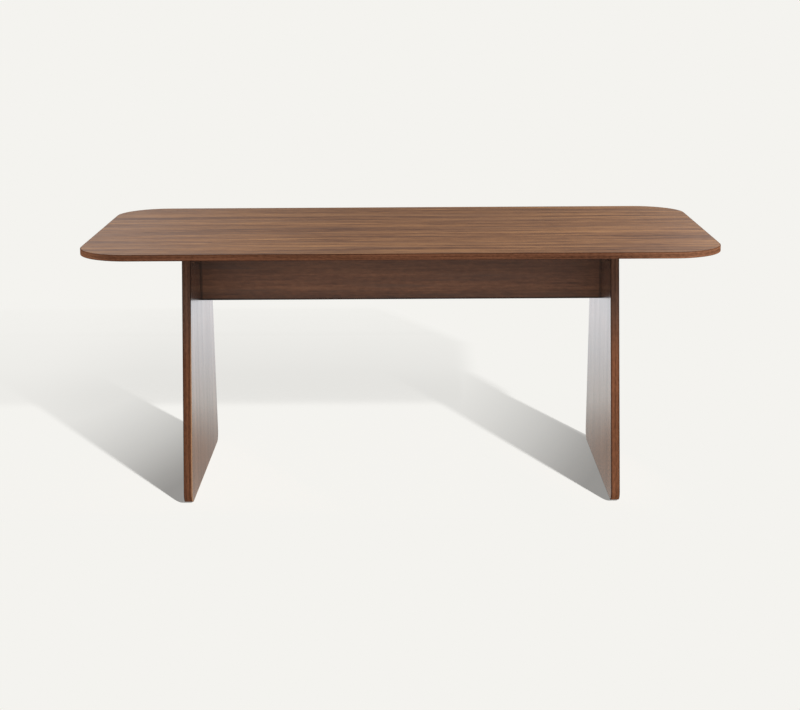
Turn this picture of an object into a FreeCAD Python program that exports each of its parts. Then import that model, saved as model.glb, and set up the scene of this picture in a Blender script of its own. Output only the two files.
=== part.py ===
import FreeCAD, Part
import math
import os
import re
import Sketcher
from FreeCAD import Placement, Rotation, Vector

# Dining table: a veneered top with round corners on two slab legs that widen
# towards the floor, tied by one centre rail under the top.
# Origin on the floor below the middle of the top, +X along the top, -Y towards
# the viewer, +Z up. All lengths are in millimetres.

SIZES = {
    # Top board and overall height
    "top_length": 1800,
    "top_width": 900,
    "top_thick": 18,
    "corner_radius": 150,
    "table_height": 750,
    # Edge bands glued round the boards
    "band_thick": 2,
    "band_arris": 0.8,
    # Slab legs
    "leg_span": 1250,
    "leg_thick": 25,
    "leg_top_depth": 475,
    "leg_foot_depth": 675,
    "foot_radius": 30,
    # Centre rail
    "rail_height": 196,
    "rail_thick": 25,
    # Angle brackets between legs and top
    "bracket_flange": 40,
    "bracket_gauge": 3,
    "bracket_length": 70,
    "bracket_bend": 2,
    "bracket_inset": 117.5,
    "bracket_hole_inset": 24,
    "bracket_hole_spacing": 40,
    "bracket_hole_dia": 6.6,
    "bracket_slot_length": 14,
    "gusset_size": 10,
    "gusset_width": 8,
    # Hexagon-head wood screws of the brackets
    "screw_dia": 6,
    "screw_length": 16,
    "screw_head_width": 10,
    "screw_head_height": 4,
    # Cam connector between rail and leg
    "cam_dia": 15,
    "cam_depth": 17,
    "cam_wall": 1.3,
    "cam_turn": 150,
    "cam_core_dia": 1.6,
    "cam_cross_length": 8,
    "cam_cross_width": 2,
    "cam_cross_depth": 3,
    "cam_distance": 34,
    "cam_bolt_dia": 5,
    "cam_bolt_in_leg": 11,
    "cam_bolt_head_dia": 7.4,
    "cam_bolt_head_thick": 2.4,
    "cam_bolt_head_setback": 2.2,
    "cam_bolt_bore": 8,
    # Wooden dowels above and below each cam
    "dowel_dia": 8,
    "dowel_length": 35,
    "dowel_in_leg": 12,
    "dowel_inset": 50,
    # Felt pads under the legs
    "pad_dia": 22,
    "pad_height": 3,
    "pad_inset": 52.5,
    # Clearances: round a fastener, at the blind end of its hole, in a running thread
    "fit_clearance": 0.1,
    "end_clearance": 0.5,
    "thread_clearance": 0.05,
}

HALF_TURN = 180
QUARTER_TURN = 90
# How near two computed places must be to count as one when edges are picked
SMALL = 1e-3

# Levels and places that several pieces share, written in the sizes above
UNDERSIDE = "(table_height - top_thick)"
FOOT = "pad_height"
LEG_SLOPE = f"((leg_foot_depth - leg_top_depth) / 2 / ({UNDERSIDE} - {FOOT}))"
LEG_OUTER = "(leg_span / 2)"
LEG_INNER = "(leg_span / 2 - leg_thick)"
LEG_MIDDLE = "(leg_span / 2 - leg_thick / 2)"
RAIL_BOTTOM = f"({UNDERSIDE} - rail_height)"
RAIL_MIDDLE = f"({UNDERSIDE} - rail_height / 2)"
BRACKET_Y = "(leg_top_depth / 2 - bracket_inset)"
BRACKET_HOLE_X = f"({LEG_INNER} - bracket_hole_inset)"
BRACKET_HOLE_Z = f"({UNDERSIDE} - bracket_hole_inset)"
BRACKET_YS = [f"({row} * {BRACKET_Y})" for row in (-1, 1)]
LEG_SCREW_YS = [f"({y} {step} bracket_hole_spacing / 2)" for y in BRACKET_YS for step in "-+"]
CAM_X = f"({LEG_INNER} - cam_distance)"
DOWEL_ZS = [f"({UNDERSIDE} - dowel_inset)", f"({RAIL_BOTTOM} + dowel_inset)"]
PAD_Y = "(leg_foot_depth / 2 - pad_inset)"
SCREW_HOLE = "(screw_dia / 2 + thread_clearance)"
SCREW_DEPTH = "(screw_length - bracket_gauge + end_clearance)"
DOWEL_HOLE = "(dowel_dia / 2 + fit_clearance)"

doc = FreeCAD.newDocument("DiningTable")
sheet = doc.addObject("Spreadsheet::Sheet", "Sizes")
for row, (name, value) in enumerate(SIZES.items(), start=1):
    sheet.set(f"A{row}", name.replace("_", " "))
    sheet.set(f"B{row}", str(value))
    sheet.setAlias(f"B{row}", name)
doc.recompute()

nodes = []


def sized(text):
    """Write an expression's size names as cells of the sheet."""
    return re.sub(r"[a-z_]+", lambda word: "Sizes." + word[0] if word[0] in SIZES else word[0], text)


def now(text):
    """The present value of an expression in sheet sizes."""
    return float(sheet.evalExpression(sized(text)))


def bind(thing, **places):
    """Tie properties of an object to expressions in sheet sizes."""
    for name, text in places.items():
        thing.setExpression(name.replace("__", "."), sized(text))


def new_body(label):
    body = doc.addObject("PartDesign::Body", label)
    body.Label = label
    return body


def plane(body, role):
    return next(part for part in body.Origin.OriginFeatures if part.Role == role)


def new_sketch(body, name, role, lift="0"):
    """A sketch on one of the body's own origin planes, lifted along its normal."""
    made = body.newObject("Sketcher::SketchObject", name)
    made.AttachmentSupport = [(plane(body, role), "")]
    made.MapMode = "FlatFace"
    bind(made, AttachmentOffset__Base__z=lift)
    return made


def limit(made, name, text, kind, *where):
    """Add one driving dimension of a sketch, named and tied to the sheet."""
    index = made.addConstraint(Sketcher.Constraint(kind, *where, now(text)))
    made.renameConstraint(index, name)
    made.setExpression(f"Constraints.{name}", sized(text))


def draw_outline(made, points, rounds=None):
    """Draw a closed outline through points, each a pair of expressions, and
    round the corners that are numbered in rounds by their radius."""
    rounds = rounds or {}
    places = [Vector(now(x), now(y), 0) for x, y in points]
    count = len(points)
    for i, place in enumerate(places):
        made.addGeometry(Part.LineSegment(place, places[(i + 1) % count]))
    for i in range(count):
        made.addConstraint(Sketcher.Constraint("Coincident", i, 2, (i + 1) % count, 1))
    for i, (x, y) in enumerate(points):
        limit(made, f"x{i}", x, "DistanceX", i, 1)
        limit(made, f"y{i}", y, "DistanceY", i, 1)
    for i, radius in rounds.items():
        before = made.GeometryCount
        made.fillet(i, 1, now(radius), True, True)
        arc = next(g for g in range(before, made.GeometryCount)
                   if made.Geometry[g].TypeId == "Part::GeomArcOfCircle")
        limit(made, f"r{i}", radius, "Radius", arc)


def draw_circles(made, radius, places):
    for i, (x, y) in enumerate(places):
        ring = made.addGeometry(Part.Circle(Vector(now(x), now(y), 0), Vector(0, 0, 1), now(radius)))
        limit(made, f"x{i}", x, "DistanceX", ring, 3)
        limit(made, f"y{i}", y, "DistanceY", ring, 3)
        limit(made, f"r{i}", radius, "Radius", ring)


def rectangle(x0, y0, x1, y1):
    return [(x0, y0), (x1, y0), (x1, y1), (x0, y1)]


def pad(body, made, length, centred=False):
    grown = body.newObject("PartDesign::Pad", made.Name + "_pad")
    grown.Profile = made
    if centred:
        grown.SideType = "Symmetric"
    bind(grown, Length=length)
    doc.recompute()
    made.Visibility = False


def cut(body, made, depth, along_normal):
    """Pocket a sketch and make sure that it took material away."""
    before = body.Shape.Volume
    hole = body.newObject("PartDesign::Pocket", made.Name + "_pocket")
    hole.Profile = made
    hole.Reversed = along_normal
    bind(hole, Length=depth)
    doc.recompute()
    made.Visibility = False
    if body.Shape.Volume >= before:
        raise RuntimeError(f"{made.Name} takes nothing from {body.Label}")


def bore(body, name, role, lift, radius, depth, places, along_normal):
    """Round blind holes, all alike, sunk from one lifted origin plane."""
    made = new_sketch(body, f"{body.Label}_{name}", role, lift)
    draw_circles(made, radius, places)
    cut(body, made, depth, along_normal)


def slab(label, role, lift, thick, points, rounds=None):
    """A flat piece: an outline on a lifted origin plane, padded along its normal."""
    body = new_body(label)
    made = new_sketch(body, label + "_outline", role, lift)
    draw_outline(made, points, rounds)
    pad(body, made, thick)
    return body


def ease(body, wanted):
    """Chamfer the long arrises of an edge band, the edges that the test picks."""
    last = body.Tip
    names = [f"Edge{i}" for i, edge in enumerate(last.Shape.Edges, start=1) if wanted(edge)]
    eased = body.newObject("PartDesign::Chamfer", body.Label + "_arris")
    eased.Base = (last, names)
    bind(eased, Size="band_arris")
    doc.recompute()


def turned(body, points, name, angle=None, away=False):
    """Revolve a half section, drawn in the XZ plane, round the body's Z axis,
    or groove it away."""
    made = new_sketch(body, name, "XZ_Plane")
    draw_outline(made, points)
    spun = body.newObject("PartDesign::Groove" if away else "PartDesign::Revolution", name + "_turn")
    spun.Profile = made
    spun.ReferenceAxis = (plane(body, "Z_Axis"), [""])
    if angle:
        bind(spun, Angle=angle)
    doc.recompute()
    made.Visibility = False


def node(thing, label):
    """List an object as one of the table's nodes."""
    thing.Label = label
    nodes.append(thing)
    return thing


def placed(master, name, x, y, z, rotation):
    """One more copy of a master piece at a place written in sheet sizes."""
    copy = doc.addObject("App::Link", name)
    copy.LinkedObject = master
    copy.Placement = Placement(Vector(now(x), now(y), now(z)), rotation)
    bind(copy, Placement__Base__x=x, Placement__Base__y=y, Placement__Base__z=z)
    return copy


def group(label, copies):
    """One node that holds separate solids of the same piece."""
    made = doc.addObject("Part::Compound", label)
    made.Links = copies
    node(made, label)


def facing(x, y, z):
    """Turn a master, which is drawn with its head along +Z, to face a direction."""
    return Rotation(Vector(0, 0, 1), Vector(x, y, z))


# Top: a veneered board with one band round its edge

def top_outline(inset):
    half_length, half_width = f"(top_length / 2 - {inset})", f"(top_width / 2 - {inset})"
    return rectangle(f"-{half_length}", f"-{half_width}", half_length, half_width)


def corner_rounds(radius):
    return {corner: radius for corner in range(4)}


def top_board():
    body = slab("top_board", "XY_Plane", UNDERSIDE, "top_thick", top_outline("band_thick"),
                corner_rounds("corner_radius - band_thick"))
    screws = [(f"{side} * {BRACKET_HOLE_X}", y) for side in (-1, 1) for y in BRACKET_YS]
    bore(body, "screw_holes", "XY_Plane", UNDERSIDE, SCREW_HOLE, SCREW_DEPTH, screws, True)
    node(body, "top_board")


def top_edge_band():
    label = "top_edge_band"
    body = slab(label, "XY_Plane", UNDERSIDE, "top_thick", top_outline("0"), corner_rounds("corner_radius"))
    levels = (now(UNDERSIDE), now("table_height"))

    def arris(edge):
        box = edge.BoundBox
        return box.ZLength < SMALL and any(abs(box.ZMax - level) < SMALL for level in levels)

    ease(body, arris)
    hollow = new_sketch(body, label + "_hollow", "XY_Plane", UNDERSIDE)
    draw_outline(hollow, top_outline("band_thick"), corner_rounds("corner_radius - band_thick"))
    cut(body, hollow, "top_thick", True)
    node(body, label)


# Legs: each is drawn at -X, and the right one is turned half round the table's axis

def leg_point(side, level, inset):
    """A point on the leg's slanted edge at a level, moved in square to the edge."""
    run = f"{inset} * sqrt(1 + {LEG_SLOPE}^2)"
    return (f"{side} * (leg_top_depth / 2 + {LEG_SLOPE} * ({UNDERSIDE} - ({level})) - {run})", level)


def leg_outline(inset):
    foot = f"{FOOT} + {inset}"
    return [leg_point(-1, UNDERSIDE, inset), leg_point(-1, foot, inset),
            leg_point(1, foot, inset), leg_point(1, UNDERSIDE, inset)]


def leg_board(side, turn):
    label = f"{side}_leg_board"
    radius = "foot_radius - band_thick"
    body = slab(label, "YZ_Plane", f"-{LEG_OUTER}", "leg_thick", leg_outline("band_thick"),
                {1: radius, 2: radius})
    face = f"-{LEG_INNER}"
    bore(body, "screw_holes", "YZ_Plane", face, SCREW_HOLE, SCREW_DEPTH,
         [(y, BRACKET_HOLE_Z) for y in LEG_SCREW_YS], False)
    bore(body, "bolt_hole", "YZ_Plane", face, "cam_bolt_dia / 2 + thread_clearance",
         "cam_bolt_in_leg + end_clearance", [("0", RAIL_MIDDLE)], False)
    bore(body, "dowel_holes", "YZ_Plane", face, DOWEL_HOLE, "dowel_in_leg + end_clearance",
         [("0", z) for z in DOWEL_ZS], False)
    body.Placement = turn
    node(body, label)


def leg_edge_band(side, turn):
    """One strip down the front edge, round the foot corners, and up the rear edge."""
    label = f"{side}_leg_edge_band"
    outer, inner = leg_outline("0"), leg_outline("band_thick")
    rounds = {1: "foot_radius", 2: "foot_radius",
              5: "foot_radius - band_thick", 6: "foot_radius - band_thick"}
    body = slab(label, "YZ_Plane", f"-{LEG_OUTER}", "leg_thick", outer + inner[::-1], rounds)
    faces = (now(f"-{LEG_OUTER}"), now(f"-{LEG_INNER}"))
    top, foot = (Vector(0, now(y), now(z)) for y, z in outer[:2])
    radius = now("foot_radius")

    def arris(edge):
        """On a long face of the strip and on its outer outline, not its inner one."""
        box = edge.BoundBox
        if box.XLength > SMALL or not any(abs(box.XMax - x) < SMALL for x in faces):
            return False
        middle = edge.valueAt((edge.FirstParameter + edge.LastParameter) / 2)
        mirrored = Vector(0, -abs(middle.y), middle.z)
        slanted = mirrored.distanceToLine(top, foot - top) < SMALL
        corner = edge.Curve.TypeId == "Part::GeomCircle" and abs(edge.Curve.Radius - radius) < SMALL
        return slanted or corner or abs(middle.z - foot.z) < SMALL

    ease(body, arris)
    body.Placement = turn
    node(body, label)


# Rail: a board on edge between the legs, with its band along the bottom

def rail_board():
    points = rectangle(f"-{LEG_INNER}", f"{RAIL_BOTTOM} + band_thick", LEG_INNER, UNDERSIDE)
    rear = "-rail_thick / 2"
    body = slab("rail_board", "XZ_Plane", rear, "rail_thick", points)
    cams = [(f"{side} * {CAM_X}", RAIL_MIDDLE) for side in (-1, 1)]
    bore(body, "cam_holes", "XZ_Plane", rear, "cam_dia / 2 + fit_clearance",
         "cam_depth + end_clearance", cams, True)
    for side, name in ((-1, "left"), (1, "right")):
        end = f"{side} * {LEG_INNER}"
        bore(body, f"{name}_dowel_holes", "YZ_Plane", end, DOWEL_HOLE,
             "dowel_length - dowel_in_leg + end_clearance", [("0", z) for z in DOWEL_ZS], side < 0)
        bore(body, f"{name}_bolt_bore", "YZ_Plane", end, "cam_bolt_bore / 2",
             "cam_distance", [("0", RAIL_MIDDLE)], side < 0)
    node(body, "rail_board")


def rail_edge_band():
    points = rectangle("-rail_thick / 2", RAIL_BOTTOM, "rail_thick / 2", f"{RAIL_BOTTOM} + band_thick")
    body = slab("rail_edge_band", "YZ_Plane", f"-{LEG_INNER}", f"2 * {LEG_INNER}", points)
    bottom, long_edge = now(RAIL_BOTTOM), now(LEG_INNER)
    ease(body, lambda edge: edge.BoundBox.ZMax < bottom + SMALL and edge.Length > long_edge)
    node(body, "rail_edge_band")


# Fittings: each is drawn once, and its copies are placed where it is used

def leg_bracket_master():
    """An angle with its bend at the origin, one flange down and one along +X:
    round holes for the leg, a slot for the top, and a pressed gusset between."""
    body = new_body("leg_bracket")
    section = new_sketch(body, "bracket_section", "XZ_Plane")
    flange, gauge = "bracket_flange", "bracket_gauge"
    draw_outline(section, [("0", "0"), (flange, "0"), (flange, f"-{gauge}"),
                           (gauge, f"-{gauge}"), (gauge, f"-{flange}"), ("0", f"-{flange}")],
                 {0: "bracket_bend + bracket_gauge", 3: "bracket_bend"})
    pad(body, section, "bracket_length", centred=True)
    gusset = new_sketch(body, "gusset", "XZ_Plane")
    draw_outline(gusset, [(gauge, f"-{gauge}"), (f"{gauge} + gusset_size", f"-{gauge}"),
                          (gauge, f"-{gauge} - gusset_size")])
    pad(body, gusset, "gusset_width", centred=True)
    ys = [f"{step} * bracket_hole_spacing / 2" for step in (-1, 1)]
    bore(body, "round_holes", "YZ_Plane", "0", "bracket_hole_dia / 2", gauge,
         [(y, "-bracket_hole_inset") for y in ys], True)
    slot = new_sketch(body, "slot", "XY_Plane")
    draw_slot(slot, "bracket_hole_inset", "bracket_slot_length / 2", "bracket_hole_dia / 2")
    cut(body, slot, gauge, False)
    return body


def draw_slot(made, x, reach, radius):
    """A slot with round ends, long along Y and centred on Y zero."""
    side, middle, end = now(radius), now(x), now(f"{reach} - {radius}")
    centres = (Vector(middle, end, 0), Vector(middle, -end, 0))
    for centre, start in zip(centres, (0, math.pi)):
        ring = Part.Circle(centre, Vector(0, 0, 1), side)
        made.addGeometry(Part.ArcOfCircle(ring, start, start + math.pi))
    right = Vector(side, 0, 0)
    made.addGeometry(Part.LineSegment(centres[1] + right, centres[0] + right))
    made.addGeometry(Part.LineSegment(centres[0] - right, centres[1] - right))
    for arc, arc_end, line, line_end in ((0, 1, 2, 2), (0, 2, 3, 1), (1, 1, 3, 2), (1, 2, 2, 1)):
        made.addConstraint(Sketcher.Constraint("Tangent", arc, arc_end, line, line_end))
    made.addConstraint(Sketcher.Constraint("Equal", 0, 1))
    for arc, sign in ((0, ""), (1, "-")):
        limit(made, f"x{arc}", x, "DistanceX", arc, 3)
        limit(made, f"y{arc}", f"{sign}({reach} - {radius})", "DistanceY", arc, 3)
    limit(made, "r0", radius, "Radius", 0)


def screw_master():
    """A hexagon head on +Z over a plain shank, seated at the origin."""
    body = new_body("hex_screw")
    head = new_sketch(body, "screw_head", "XY_Plane")
    across, half = "screw_head_width / sqrt(3)", "screw_head_width / 2"
    draw_outline(head, [(across, "0"), (f"{across} / 2", half), (f"-{across} / 2", half),
                        (f"-{across}", "0"), (f"-{across} / 2", f"-{half}"), (f"{across} / 2", f"-{half}")])
    pad(body, head, "screw_head_height")
    turned(body, rectangle("0", "-screw_length", "screw_dia / 2", "0"), "screw_shank")
    return body


def dowel_master():
    body = new_body("dowel")
    turned(body, rectangle("0", "0", "dowel_dia / 2", "dowel_length"), "dowel_section")
    return body


def cam_master():
    """A round housing, hollow on one side so that it turns over the bolt's head
    while its wall closes on the shank behind it; a cross takes the driver."""
    body = new_body("cam")
    turned(body, rectangle("0", "-cam_depth", "cam_dia / 2", "0"), "cam_section")
    head = "(cam_bolt_head_dia / 2 + fit_clearance)"
    shank = "(cam_bolt_dia / 2 + fit_clearance)"
    axis = "rail_thick / 2"
    inside = "(cam_dia / 2 - cam_wall)"
    turned(body, rectangle("cam_core_dia / 2", f"-{axis} - {head}", inside, f"-{axis} + {head}"),
           "head_chamber", "cam_turn", away=True)
    turned(body, rectangle(inside, f"-{axis} - {shank}", "cam_dia / 2 + cam_wall", f"-{axis} + {shank}"),
           "shank_slot", "cam_turn", away=True)
    entry = new_sketch(body, "head_entry", "YZ_Plane")
    draw_circles(entry, head, [("0", f"-{axis}")])
    cut(body, entry, "cam_dia", True)
    cross = new_sketch(body, "driver_cross", "XY_Plane")
    far, near = "cam_cross_length / 2", "cam_cross_width / 2"
    draw_outline(cross, [(far, f"-{near}"), (far, near), (near, near), (near, far),
                         (f"-{near}", far), (f"-{near}", near), (f"-{far}", near),
                         (f"-{far}", f"-{near}"), (f"-{near}", f"-{near}"), (f"-{near}", f"-{far}"),
                         (near, f"-{far}"), (near, f"-{near}")])
    cut(body, cross, "cam_cross_depth", False)
    return body


def cam_bolt_master():
    """Screwed into the leg up to the origin, with its head caught in the cam."""
    body = new_body("cam_bolt")
    shank, head = "cam_bolt_dia / 2", "cam_bolt_head_dia / 2"
    tip = "cam_distance - cam_bolt_head_setback"
    neck = f"{tip} - cam_bolt_head_thick"
    turned(body, [("0", "-cam_bolt_in_leg"), (shank, "-cam_bolt_in_leg"), (shank, neck),
                  (head, neck), (head, tip), ("0", tip)], "cam_bolt_section")
    return body


def felt_pad_master():
    body = new_body("felt_pad")
    made = new_sketch(body, "felt_pad_outline", "XY_Plane")
    draw_circles(made, "pad_dia / 2", [("0", "0")])
    pad(body, made, "pad_height")
    return body


def place_brackets():
    master = leg_bracket_master()
    for side, x_sign, turn in (("left", -1, 0), ("right", 1, HALF_TURN)):
        for row, y in zip(("front", "rear"), BRACKET_YS):
            label = f"{side}_{row}_bracket"
            node(placed(master, label, f"{x_sign} * {LEG_INNER}", y, UNDERSIDE,
                        Rotation(Vector(0, 0, 1), turn)), label)


def place_screws():
    """One through each slot into the top, two through each bracket into the leg."""
    master = screw_master()
    sides = (-1, 1)
    group("top_screws", [placed(master, f"top_screw_{x}_{i}", f"{x} * {BRACKET_HOLE_X}", y,
                                f"{UNDERSIDE} - bracket_gauge", facing(0, 0, -1))
                         for x in sides for i, y in enumerate(BRACKET_YS)])
    group("leg_screws", [placed(master, f"leg_screw_{x}_{i}", f"{x} * ({LEG_INNER} - bracket_gauge)", y,
                                BRACKET_HOLE_Z, facing(-x, 0, 0))
                         for x in sides for i, y in enumerate(LEG_SCREW_YS)])


def place_connectors():
    """A cam and its bolt in the middle of each rail end, with a dowel above and below."""
    cam, bolt, dowel = cam_master(), cam_bolt_master(), dowel_master()
    sides = (-1, 1)
    closed = {x: facing(0, 1, 0) * Rotation(Vector(0, 0, 1), -x * QUARTER_TURN) for x in sides}
    group("cam_housings", [placed(cam, f"cam_{x}", f"{x} * {CAM_X}", "rail_thick / 2", RAIL_MIDDLE, closed[x])
                           for x in sides])
    group("cam_bolts", [placed(bolt, f"cam_bolt_{x}", f"{x} * {LEG_INNER}", "0", RAIL_MIDDLE, facing(-x, 0, 0))
                        for x in sides])
    group("rail_dowels", [placed(dowel, f"rail_dowel_{x}_{i}", f"{x} * ({LEG_INNER} + dowel_in_leg)", "0", z,
                                 facing(-x, 0, 0)) for x in sides for i, z in enumerate(DOWEL_ZS)])


def place_pads():
    master = felt_pad_master()
    for side, x in (("left", -1), ("right", 1)):
        for row, y in (("front", -1), ("rear", 1)):
            label = f"{side}_{row}_pad"
            node(placed(master, label, f"{x} * {LEG_MIDDLE}", f"{y} * {PAD_Y}", "0", Rotation()), label)


top_board()
top_edge_band()
for side, turn in (("left", Rotation()), ("right", Rotation(Vector(0, 0, 1), HALF_TURN))):
    leg_board(side, Placement(Vector(), turn))
    leg_edge_band(side, Placement(Vector(), turn))
rail_board()
rail_edge_band()
place_brackets()
place_screws()
place_connectors()
place_pads()

# Every object is sound before anything is written

doc.recompute()
for thing in doc.Objects:
    if {"Invalid", "Error"} & set(thing.State):
        raise RuntimeError(f"{thing.Label} failed: {thing.State}")

shapes = {thing.Label: Part.getShape(thing) for thing in nodes}
for label, shape in shapes.items():
    if shape.isNull() or not shape.isValid():
        raise RuntimeError(f"{label} has no valid shape")

os.makedirs("parts", exist_ok=True)
for label, shape in shapes.items():
    shape.exportStep(f"parts/{label}.step")
    print(label, len(shape.Solids), "solids", round(shape.Volume), "mm3")
print(len(shapes), "nodes")
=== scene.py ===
import math

import bmesh
import bpy
from mathutils import Matrix, Vector


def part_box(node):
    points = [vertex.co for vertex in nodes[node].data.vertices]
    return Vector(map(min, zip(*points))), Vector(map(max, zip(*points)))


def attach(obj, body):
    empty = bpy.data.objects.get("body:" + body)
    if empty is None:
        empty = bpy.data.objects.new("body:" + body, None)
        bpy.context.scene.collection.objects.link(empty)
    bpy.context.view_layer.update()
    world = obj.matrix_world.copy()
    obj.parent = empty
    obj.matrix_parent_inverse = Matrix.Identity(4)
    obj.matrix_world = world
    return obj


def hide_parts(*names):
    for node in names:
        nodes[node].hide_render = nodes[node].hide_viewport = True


# Dining table: walnut boards with glued edge bands on two slab legs and a rail,
# held by angle brackets, wood screws, cams and dowels. Lengths are in metres.

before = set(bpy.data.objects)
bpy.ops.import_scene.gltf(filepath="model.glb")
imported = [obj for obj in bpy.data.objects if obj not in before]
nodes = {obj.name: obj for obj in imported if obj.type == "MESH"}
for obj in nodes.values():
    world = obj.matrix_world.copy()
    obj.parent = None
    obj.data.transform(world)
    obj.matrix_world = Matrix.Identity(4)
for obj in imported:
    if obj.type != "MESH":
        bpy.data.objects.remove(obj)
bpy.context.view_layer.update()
scene = bpy.context.scene
scene.view_settings.view_transform = "Standard"

# Sizes of the boards and fittings, and the spans along an axis where the bands' colours turn to painted
# light at the top band's ends and to painted shade at the legs' tops
TOP_CORNER = 0.150
FOOT_CORNER = 0.030
LEG_TOP_DEPTH = 0.475
LEG_FOOT_DEPTH = 0.675
BRACKET_HOLE_INSET = 0.024
BRACKET_HOLE_SPACING = 0.040
BRACKET_GAUGE = 0.003
BAND_THICK = 0.002
BAND_ARRIS = 0.0016
DOWEL_LENGTH = 0.035
TOP_BAND_PAINTED_LIGHT = (("X", 0.5, 0.85), ("X", -0.78, -0.87))
LEG_BAND_PAINTED_SHADE = (("Z", 0.38, 0.6),)
CORNERS = [f"{side}_{row}" for side in ("left", "right") for row in ("front", "rear")]
BRACKETS = [f"{corner}_bracket" for corner in CORNERS]
PADS = [f"{corner}_pad" for corner in CORNERS]


# Camera, light and floor

PHOTO_WIDTH = 800
PHOTO_HEIGHT = 710
FOCAL_PIXELS = 1644.8
AXIS_ROW = 235
CAMERA_PLACE = (0.0113, -4.8716, 1.5069)
CAMERA_PITCH = 0.1582
CAMERA_ROLL = 0.006
CAMERA_YAW = 0.0026
PALE = (0.905, 0.896, 0.863, 1)
BLACK = (0, 0, 0, 1)

# Lamps of the table: the key, one bulb at each side, and rings of a dome, each ring from
# one elevation to another with so many lamps
KEY_PLACE = (1.58, -2.98, 3.58)
KEY_POWER = 560
KEY_RADIUS = 1.8
SIDE_BULBS = (("left", (-2.3, -0.1, 1.35), 30), ("right", (2.3, -0.1, 1.35), 35))
SIDE_RADIUS = 0.4
DOME_RINGS = ((0, 28, 8), (28, 55, 6), (55, 90, 3))
DOME_LAMP_ANGLE = 45
LOW_RING_SHARE = 0.6
AMBIENT = 0.4

# Bulbs of the floor, stacked at one place: each one's height and share of the light
BULB_PLACE = (3.35, -6.45)
BULBS = ((4.3, 0.3), (4.24, 0.25), (4.16, 0.15), (3.98, 0.06), (3.8, 0.06), (3.62, 0.06),
         (3.44, 0.06), (3.28, 0.06))
BULB_REACH = 13
BULB_RADIUS = 0.12
FLOOR_RADIUS = 30

# Depth of the floor's full shadow, by distance from the leg that casts it
LEG_SHADOW = ((0.0, 0.68), (0.25, 0.61), (0.55, 0.5), (0.85, 0.4), (1.15, 0.322), (1.45, 0.256),
              (1.75, 0.203), (2.1, 0.15), (2.5, 0.09), (3.0, 0.0))
LEG_SHADOW_SLOPE = 3
STRIP_EDGE = 0.02
RIGHT_STRIP_EDGE = 0.008
NEXT_LEG_EDGE = 0.03

# Depth of the top's full shadow, by distance behind the table, with its fades in X and
# the corner past which its right end slants
TOP_SHADOW = ((0.7, 0.18), (0.9, 0.178), (1.0, 0.17), (1.1, 0.157), (1.2, 0.141), (1.3, 0.124),
              (1.4, 0.112), (1.88, 0.07), (1.98, 0.165), (2.1, 0.2), (2.2, 0.24), (2.33, 0.32),
              (2.45, 0.45), (2.56, 0.0))
TOP_SHADOW_LEFT = (-1.5, -0.9)
TOP_SHADOW_RIGHT = (0.31, 0.2)
TOP_SHADOW_CORNER = 1.75
TOP_SHADOW_SLANT = 0.5
FRONT_FADE = (-0.45, -0.34)
RIGHT_FADE = (0.9, 0.65)

# What gloss sees: the floor with painted shade that deepens towards the table, the room by X
FLOOR_GLOSS = ((0.4, (0.25, 0.19, 0.15)), (0.6, (0.36, 0.295, 0.255)), (0.72, (0.46, 0.42, 0.385)),
               (0.96, (0.65, 0.635, 0.61)), (1.62, (0.79, 0.8, 0.82)), (2.4, (0.97, 0.97, 1.0)))
ROOM_GLOSS = ((-0.2, (1.0, 1.0, 1.0)), (-0.17, (1.0, 1.0, 1.0)), (-0.14, (0.68, 0.68, 0.68)),
              (-0.1, (0.4, 0.4, 0.4)), (-0.04, (0.2, 0.2, 0.2)), (0.1, (0.2, 0.2, 0.2)),
              (0.15, (0.35, 0.35, 0.35)), (0.18, (0.85, 0.85, 0.85)), (0.22, (1.0, 1.0, 1.0)))


def place_camera():
    """A pinhole camera fitted to the table's straight edges in the photograph."""
    data = bpy.data.cameras.new("camera")
    data.sensor_width = 36
    data.lens = FOCAL_PIXELS / PHOTO_WIDTH * data.sensor_width
    data.shift_y = (AXIS_ROW - PHOTO_HEIGHT / 2) / PHOTO_WIDTH
    data.clip_end = 200
    camera = bpy.data.objects.new("camera", data)
    scene.collection.objects.link(camera)
    turn = (Matrix.Rotation(CAMERA_YAW, 4, "Z") @ Matrix.Rotation(math.pi / 2 - CAMERA_PITCH, 4, "X")
            @ Matrix.Rotation(-CAMERA_ROLL, 4, "Z"))
    camera.matrix_world = Matrix.Translation(CAMERA_PLACE) @ turn
    scene.camera = camera


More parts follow.
